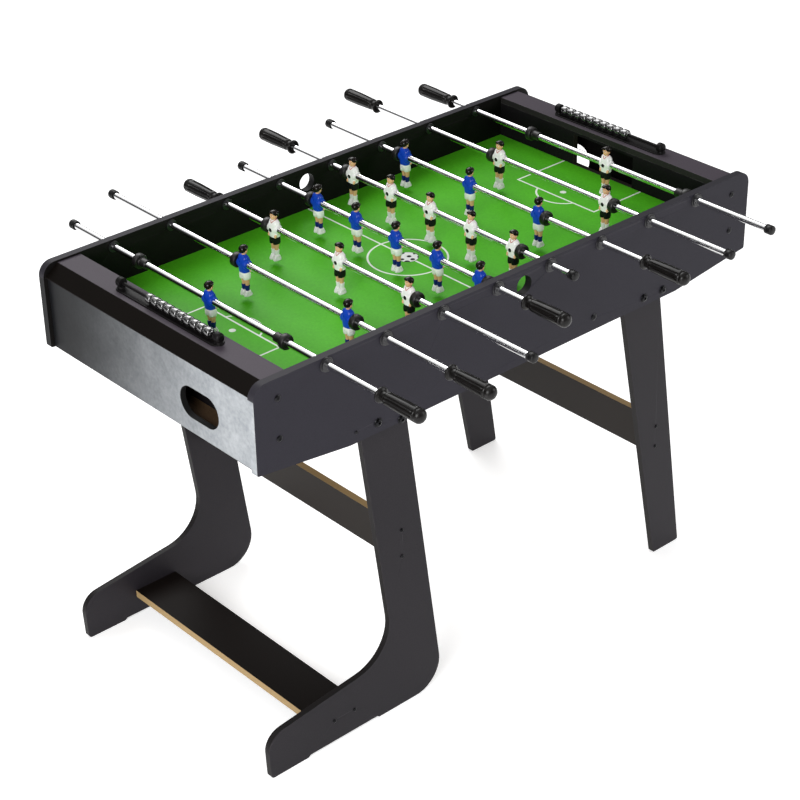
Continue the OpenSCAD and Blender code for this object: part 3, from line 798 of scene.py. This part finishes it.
bumper_rubber = moulded_plastic("bumper_rubber", (0.0035, 0.0030, 0.0030, 1),
                                (0.0080, 0.0070, 0.0070, 1), 0.42)
washer_length, shortest_collar = 0.013, 0.001
for n in range(1, rod_count + 1):
    mesh = bmesh.new()
    boxes = solids_of(f"rod_{n}_bumpers")
    rod_middle = sum(low.y + high.y for low, high in boxes) / 4
    for low, high in boxes:
        bumper_r = (high.z - low.z) / 2
        outward = 1 if low.y > rod_middle else -1
        from_y = low.y if outward > 0 else high.y
        length = high.y - low.y
        collar = length - washer_length
        stop = [(collar, bore_r)]
        if collar > shortest_collar:
            stop = [(0.0, bore_r), (0.0, 0.0080), (0.0008, 0.0088), (collar - 0.003, 0.0088),
                    (collar - 0.0022, 0.0096), (collar, 0.0096)]
        washer = [(collar, bumper_r - 0.0030), (collar + 0.0008, bumper_r - 0.0010),
                  (collar + 0.0025, bumper_r), (length - 0.0025, bumper_r),
                  (length - 0.0008, bumper_r - 0.0010), (length, bumper_r - 0.0030),
                  (length, rod_r + 0.0040), (length - 0.0006, rod_r + 0.0034), (length - 0.0006, bore_r)]
        turned(mesh, stop + washer, along_y(rod_places[n - 1], from_y, rod_z, outward), turns=40)
    bumpers = lay(f"rod_{n}_bumper_pair", mesh, bumper_rubber)
    stand_for(bumpers, f"rod_{n}_bumpers", f"rod_{n}_slider")

# ------------------------------------------------------------
# Players. Each is one plastic moulding, clamped on the rod by a set screw in its front and painted
# by hand: shirt, shorts, skin, socks and hair, over a white moulding that shows as the boots.

millimetres = Matrix.Scale(0.001, 4)


def loft(mesh, sections, zone, turns=20, power=2.4, place=millimetres):
    """A closed skin through level, squared-off ovals: (height, centre x, centre y, half depth and
    half width), in the place's own unit."""
    rings = []
    for z, cx, cy, hx, hy in sections:
        ring = []
        for i in range(turns):
            c, s = math.cos(2 * math.pi * i / turns), math.sin(2 * math.pi * i / turns)
            u = math.copysign(abs(c) ** (2 / power), c)
            v = math.copysign(abs(s) ** (2 / power), s)
            ring.append(mesh.verts.new(place @ Vector((cx + hx * u, cy + hy * v, z))))
        rings.append(ring)
    faces = [mesh.faces.new((low[i], low[(i + 1) % turns], high[(i + 1) % turns], high[i]))
             for low, high in zip(rings, rings[1:]) for i in range(turns)]
    faces += [mesh.faces.new(rings[0][::-1]), mesh.faces.new(rings[-1])]
    for face in faces:
        face.material_index = zone
    bmesh.ops.recalc_face_normals(mesh, faces=faces)


def limb(mesh, points, zone, turns=12):
    """A round limb through (x, y, z, radius) points, in millimetres."""
    rings = []
    for i, (x, y, z, r) in enumerate(points):
        before, after = points[max(i - 1, 0)], points[min(i + 1, len(points) - 1)]
        along = (Vector(after[:3]) - Vector(before[:3])).normalized()
        side = Vector((0, 1, 0)) - along * along.y
        side.normalize()
        front = side.cross(along)
        angles = [2 * math.pi * (k + 0.5) / turns for k in range(turns)]
        spots = [Vector((x, y, z)) + side * (r * math.cos(a)) + front * (r * math.sin(a)) for a in angles]
        rings.append([mesh.verts.new(millimetres @ spot) for spot in spots])
    faces = [mesh.faces.new((low[k], low[(k + 1) % turns], high[(k + 1) % turns], high[k]))
             for low, high in zip(rings, rings[1:]) for k in range(turns)]
    faces += [mesh.faces.new(rings[0][::-1]), mesh.faces.new(rings[-1])]
    for face in faces:
        face.material_index = zone
    bmesh.ops.recalc_face_normals(mesh, faces=faces)


def bead_form(mesh, centre, radii, zone):
    """A small rounded form, such as a nose or an ear."""
    place = millimetres @ Matrix.Translation(centre) @ Matrix.Diagonal((*radii, 1))
    made = bmesh.ops.create_icosphere(mesh, subdivisions=2, radius=1.0, matrix=place)
    for face in {f for v in made["verts"] for f in v.link_faces}:
        face.material_index = zone


SHIRT, TRIM, SHORTS, SKIN, SOCKS, BOOTS, HAIR, DARK, EYES = range(9)


def player_mesh(name, materials, collar):
    """A player that faces +X with the rod's axis through the origin along Y, with or without a collar."""
    mesh = bmesh.new()
    torso = [(-15.8, 0.2, 0, 7.4, 8.8), (-15.4, 0.2, 0, 8.6, 9.8), (-11.5, 0.1, 0, 9.0, 9.9),
             (-6, 0, 0, 9.5, 10.3), (0, 0, 0, 9.8, 10.8), (5, 0, 0, 9.4, 11.3), (9.5, -0.1, 0, 8.6, 11.6),
             (13, -0.3, 0, 7.4, 11.0), (15.6, -0.4, 0, 6.0, 8.8), (17.4, -0.4, 0, 4.9, 6.2),
             (18.4, -0.2, 0, 4.2, 4.7)]
    loft(mesh, torso, SHIRT, turns=28, power=2.7)
    rod_sleeve = [(-0.0129, 0.0), (-0.0129, 0.0055), (-0.0125, 0.0083), (-0.011, 0.0092), (0.0, 0.0094),
                  (0.011, 0.0092), (0.0125, 0.0083), (0.0129, 0.0055), (0.0129, 0.0)]
    turned(mesh, rod_sleeve, along_y(0, 0, 0, 1), turns=28)
    arm = [(-0.4, 8.2, 14.2, 3.4), (-0.6, 9.0, 11.6, 3.8), (-0.9, 9.2, 6.5, 3.6), (-0.6, 9.3, 0.5, 3.5),
           (1.4, 9.4, -4.5, 3.3), (3.8, 9.4, -8.2, 3.0), (4.6, 9.6, -9.6, 3.0), (4.8, 9.6, -9.8, 2.2)]
    hand = [(4.6, 9.6, -9.2, 2.1), (5.6, 9.4, -11.2, 2.3), (6.4, 9.1, -13.4, 2.4), (6.8, 8.8, -15.2, 1.8),
            (6.9, 8.7, -16.0, 0.9)]
    shorts_leg = [(-30.0, 0.8, 5.0, 6.6, 4.2), (-29.6, 0.8, 5.0, 7.5, 4.9), (-26, 0.6, 5.0, 8.0, 5.1),
                  (-20, 0.4, 4.9, 8.2, 5.0)]
    knee = [(-44, 0.9, 4.7, 3.9, 3.3), (-40.5, 1.3, 4.7, 3.8, 3.2), (-38.0, 1.1, 4.7, 4.2, 3.5),
            (-33, 0.8, 4.8, 5.0, 3.8), (-28, 0.7, 4.9, 5.4, 4.0)]
    sock = [(-56, 1.2, 4.8, 3.6, 3.2), (-52, 0.8, 4.8, 3.8, 3.4), (-47.5, 0.5, 4.7, 4.5, 3.8),
            (-44.0, 0.7, 4.7, 4.4, 3.7), (-43.8, 0.7, 4.7, 4.9, 4.1), (-42.0, 0.8, 4.7, 4.8, 4.0),
            (-41.7, 0.8, 4.7, 4.1, 3.4)]
    boot = [(-63.5, 1.2, 5.1, 7.4, 4.0), (-63.0, 1.2, 5.1, 8.4, 4.8), (-60.4, 1.2, 5.1, 8.5, 4.9),
            (-60.2, 1.2, 5.1, 8.0, 4.6), (-57.5, 1.0, 5.0, 7.4, 4.6), (-55.0, 0.8, 4.9, 6.0, 4.4),
            (-52.6, 0.7, 4.8, 4.8, 4.1), (-52.2, 0.7, 4.8, 4.0, 3.4)]
    thumb, ear = ((7.8, 8.0, -12.4), (0.8, 0.8, 1.5)), ((0.2, 7.0, 25.6), (1.6, 0.9, 2.2))
    eye, pupil = ((7.0, 2.5, 26.6), (0.7, 1.15, 0.72)), ((7.5, 2.45, 26.55), (0.35, 0.6, 0.6))
    brow = ((7.1, 2.6, 28.3), (0.5, 1.5, 0.36))
    for side in (-1, 1):
        for rows, zone in ((arm, SHIRT), (hand, SKIN)):
            limb(mesh, [(x, side * y, z, r) for x, y, z, r in rows], zone)
        for rows, zone, power in ((shorts_leg, SHORTS, 2.4), (knee, SKIN, 2.4), (sock, SOCKS, 2.4),
                                  (boot, BOOTS, 3.2)):
            loft(mesh, [(z, x, side * y, hx, hy) for z, x, y, hx, hy in rows], zone, power=power)
        for ((x, y, z), radii), zone in ((thumb, SKIN), (ear, SKIN), (eye, EYES), (pupil, DARK),
                                         (brow, HAIR)):
            bead_form(mesh, (x, side * y, z), radii, zone)
    hips = [(-24.5, 0.6, 0, 7.8, 9.6), (-21, 0.4, 0, 8.6, 10.0), (-17, 0.3, 0, 8.7, 9.8),
            (-14.0, 0.2, 0, 8.2, 9.0)]
    loft(mesh, hips, SHORTS, power=2.6)
    neck = [(16.0, -0.2, 0, 3.9, 3.9), (19, 0.0, 0, 3.5, 3.5), (22, 0.3, 0, 3.6, 3.6)]
    loft(mesh, neck, SKIN)
    head = [(18.2, 2.2, 0, 2.9, 2.4), (19.2, 1.9, 0, 4.3, 3.8), (21.0, 1.4, 0, 5.7, 5.2),
            (24, 0.9, 0, 6.6, 6.2), (27, 0.4, 0, 7.1, 6.7), (30, 0.1, 0, 7.2, 6.7),
            (32.8, -0.1, 0, 6.2, 5.8), (34.6, -0.2, 0, 4.2, 3.9), (35.3, -0.2, 0, 1.8, 1.7)]
    loft(mesh, head, SKIN, turns=28, power=2.1)
    tilt = millimetres @ Matrix.Translation((-0.7, 0, 27.6)) @ Matrix.Rotation(math.radians(-30), 4, "Y")
    hair_cap = [(-2.4, 0, 0, 6.8, 6.6), (-1.6, 0.1, 0, 7.8, 7.5), (0.6, 0.3, 0, 8.3, 7.8),
                (3.4, 0.3, 0, 7.9, 7.4), (5.8, 0.2, 0, 6.5, 6.1), (7.4, 0.1, 0, 4.3, 4.0),
                (8.2, 0.1, 0, 1.8, 1.7)]
    loft(mesh, hair_cap, HAIR, turns=28, power=2.1, place=tilt)
    fringe = [(31.0, 3.0, -1.0, 4.8, 6.4), (33.0, 3.2, -0.8, 4.8, 6.2), (34.9, 2.2, -0.4, 4.0, 4.6),
              (35.9, 1.2, 0, 2.0, 2.2)]
    loft(mesh, fringe, HAIR, power=2.2)
    nose_tip, nose_bridge = ((7.7, 0, 24.4), (1.3, 0.9, 1.5)), ((7.1, 0, 25.8), (0.85, 0.6, 1.5))
    mouth = ((6.9, 0, 21.6), (0.4, 1.5, 0.35))
    for form, zone in ((nose_tip, SKIN), (nose_bridge, SKIN), (mouth, TRIM if collar else DARK)):
        bead_form(mesh, *form, zone)
    if collar:
        v_neck = [(-4.2, 0.0, 18.2), (-2.6, 3.9, 18.2), (1.6, 4.8, 18.0), (4.8, 3.4, 16.4),
                  (7.0, 1.2, 13.4), (7.9, 0.0, 11.6), (7.0, -1.2, 13.4), (4.8, -3.4, 16.4),
                  (1.6, -4.8, 18.0), (-2.6, -3.9, 18.2), (-4.2, 0.0, 18.2)]
        limb(mesh, [(*spot, 0.75) for spot in v_neck], TRIM, turns=6)
    mesh.faces.ensure_lookup_table()
    painted = len(mesh.faces)
    # The set-screw recess in the front is painted black: painted shade in the hole.
    front = Matrix.Translation((0.0088, 0, -0.0010)) @ Matrix.Rotation(math.pi / 2, 4, "Y")
    turned(mesh, [(0.0, 0.0050), (0.0012, 0.0048), (0.0016, 0.0044), (0.0016, 0.0039)], front, turns=24)
    recess = len(mesh.faces)
    turned(mesh, [(0.0016, 0.0039), (0.0011, 0.0037), (0.0011, 0.0018), (0.0014, 0.0016), (0.0014, 0.0)],
           front, turns=24)
    mesh.faces.ensure_lookup_table()
    for face in mesh.faces[recess:]:
        face.material_index = DARK
    data = bpy.data.meshes.new(name)
    bmesh.ops.recalc_face_normals(mesh, faces=mesh.faces[painted:])
    mesh.to_mesh(data)
    mesh.free()
    for material in materials:
        data.materials.append(material)
    data.shade_smooth()
    data.set_sharp_from_angle(angle=math.radians(60))
    return data


def hand_paint(name, dark, light, roughness, coat=0.25, gloss=0.5, relief=0.00003, fleck_scale=700.0):
    """Brushed-on gloss paint over moulded plastic: a slightly uneven colour and an orange-peel gloss."""
    material, tree, surface = new_material(name, Coat_Weight=coat, Coat_Roughness=0.15,
                                           Specular_IOR_Level=gloss)
    grain = grained(tree, dark, light, cloud=90.0, fleck=fleck_scale, share=0.3, roughness=roughness,
                    spread=0.2)
    finish_surface(tree, surface, grain.outputs["Color"], grain.outputs, relief)
    return material


blue = hand_paint("shirt_blue", (0.004, 0.036, 0.36, 1), (0.008, 0.070, 0.56, 1), 0.30,
                  coat=0.1, gloss=0.25)
white = hand_paint("shirt_white", (0.88, 0.875, 0.86, 1), (0.95, 0.945, 0.93, 1), 0.34)
red = hand_paint("collar_red", (0.42, 0.06, 0.04, 1), (0.60, 0.12, 0.08, 1), 0.35)
black = hand_paint("shorts_black", (0.004, 0.004, 0.005, 1), (0.010, 0.010, 0.011, 1), 0.35,
                   coat=0.05, gloss=0.15)
skin = hand_paint("skin_paint", (0.74, 0.40, 0.19, 1), (0.88, 0.54, 0.30, 1), 0.38, coat=0.1, gloss=0.3)
navy = hand_paint("socks_navy", (0.004, 0.010, 0.11, 1), (0.008, 0.020, 0.20, 1), 0.36,
                  coat=0.1, gloss=0.25)
hair = hand_paint("hair_black", (0.004, 0.003, 0.002, 1), (0.010, 0.007, 0.005, 1), 0.22,
                  coat=0.15, gloss=0.2, relief=0.00012, fleck_scale=420.0)
# Black paint for the pupils and mouth, and painted shade in the set-screw recess.
recess = hand_paint("pupil_black_and_recess_shade", (0.004, 0.004, 0.004, 1), (0.010, 0.010, 0.011, 1), 0.45,
                    coat=0.0, gloss=0.15)
blue_player = player_mesh("blue_player", [blue, white, white, skin, navy, white, hair, recess, white],
                          collar=False)
white_player = player_mesh("white_player", [white, red, black, skin, white, white, hair, recess, white],
                           collar=True)
for n in range(1, rod_count + 1):
    team, player_data, facing = ("white", white_player, math.pi) if grip_sides[n - 1] > 0 else (
        "blue", blue_player, 0.0)
    for number, (low, high) in enumerate(solids_of(f"rod_{n}_men"), start=1):
        player = bpy.data.objects.new(f"rod_{n}_{team}_player_{number}", player_data)
        place = Matrix.Translation((rod_places[n - 1], (low.y + high.y) / 2, rod_z))
        player.matrix_world = place @ Matrix.Rotation(facing, 4, "Z")
        scene.collection.objects.link(player)
        stand_for(player, f"rod_{n}_men", f"rod_{n}_spinner")

# ------------------------------------------------------------
# Leg frames. Boards in dark foil: J-shaped legs with a foot stretcher and an upper stretcher at one
# end, straight splayed legs with one stretcher at the other, and spacer blocks beside the bolts.
# The stretchers' sawn edges are bare.

leg_foil = foil_board("leg_foil", 0.4, (0.0145, 0.0125, 0.0155, 1), (0.0245, 0.0215, 0.026, 1),
                      (0.012, 0.0105, 0.011, 1), 0.48, y_faces)
saw_cut = (0.42, 0.29, 0.14, 1)
flat_foil = foil_board("flat_stretcher_foil", 0.15, (0.0050, 0.0036, 0.0030, 1),
                       (0.0090, 0.0066, 0.0058, 1), saw_cut, 0.5, z_faces, gloss=0.06)
upright_foil = foil_board("upright_stretcher_foil", 0.3, (0.017, 0.0140, 0.0120, 1),
                          (0.027, 0.0225, 0.0200, 1), saw_cut, 0.48, x_faces)
for name, body, foil in (
        ("front_j_leg", "j_leg_frame", leg_foil), ("back_j_leg", "j_leg_frame", leg_foil),
        ("front_straight_leg", "straight_leg_frame", leg_foil),
        ("back_straight_leg", "straight_leg_frame", leg_foil),
        ("leg_spacer_blocks", "cabinet", leg_foil),
        ("j_leg_foot_stretcher", "j_leg_frame", flat_foil),
        ("j_leg_upper_stretcher", "j_leg_frame", upright_foil),
        ("straight_leg_stretcher", "straight_leg_frame", upright_foil)):
    eased_board(name, body, foil)
